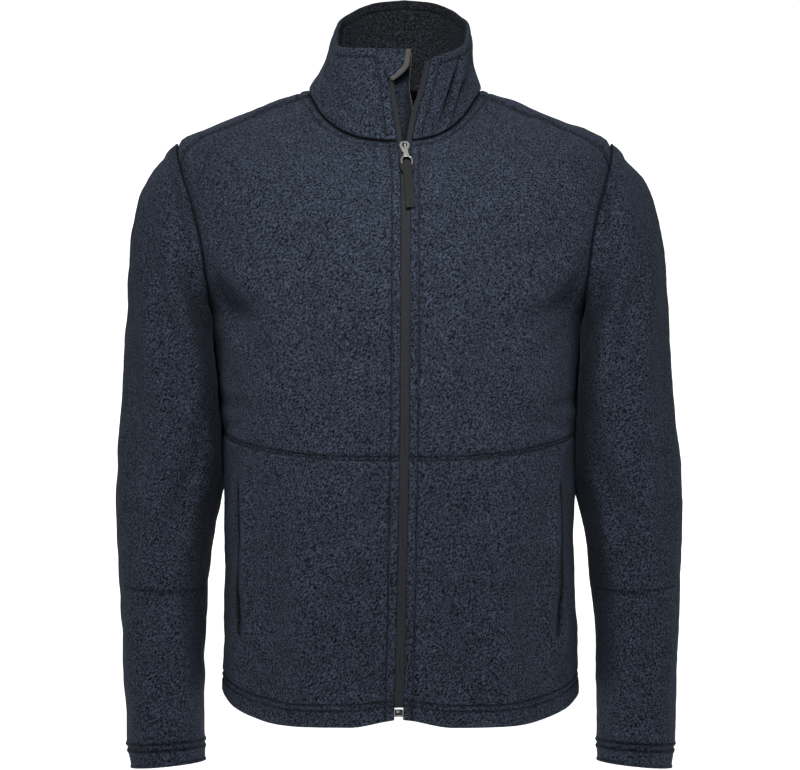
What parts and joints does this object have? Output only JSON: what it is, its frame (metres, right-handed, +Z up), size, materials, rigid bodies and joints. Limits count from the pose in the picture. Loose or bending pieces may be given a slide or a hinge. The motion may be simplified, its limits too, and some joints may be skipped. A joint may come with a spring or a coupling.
{
  "type": "fleece zip jacket",
  "caption": "Long-sleeved fleece jacket with a front zip, stand collar and slit pockets, filled out as if worn and hollow.",
  "frame": {"origin": "middle of the neck opening at the height of the shoulder points", "axes": "+Z up along the worn jacket, the front faces -Y, +X is the wearer's left"},
  "size_m": [0.6135, 0.2845, 0.83],
  "materials": {
    "fleece": "dark navy heathered fleece with a short nap",
    "fleece_inside": "the fleece's darker back",
    "zip_tape": "woven navy tape with a moulded coil",
    "binding": "grey-brown stretch binding",
    "zip_metal": "bright nickel-plated metal",
    "pull_tab": "charcoal woven strap"
  },
  "bodies": {
    "jacket": {"back": "fleece", "front_upper_left": "fleece", "front_upper_right": "fleece", "front_lower_left": "fleece", "front_lower_right": "fleece", "sleeve_left": "fleece", "sleeve_right": "fleece", "collar_outer": "fleece", "collar_inner": "fleece_inside", "storm_flap": "fleece", "storm_flap_binding": "binding", "chin_guard": "fleece", "chin_guard_binding": "binding", "zip_tape_left": "zip_tape", "zip_tape_right": "zip_tape", "zip_slider": "zip_metal", "zip_box": "zip_metal", "pocket_zip_left": "zip_tape", "pocket_zip_right": "zip_tape", "pocket_slider_left": "zip_metal", "pocket_slider_right": "zip_metal"},
    "pull": {"zip_pull_link": "zip_metal", "zip_pull_tab": "pull_tab"}
  },
  "joints": [
    {"name": "zip_pull", "type": "hinge", "parent": "jacket", "child": "pull", "pos_m": [0.00495, -0.09347, -0.06582], "axis": [-0.9982, -0.0595, 0], "range_deg": [0, 150]}
  ]
}
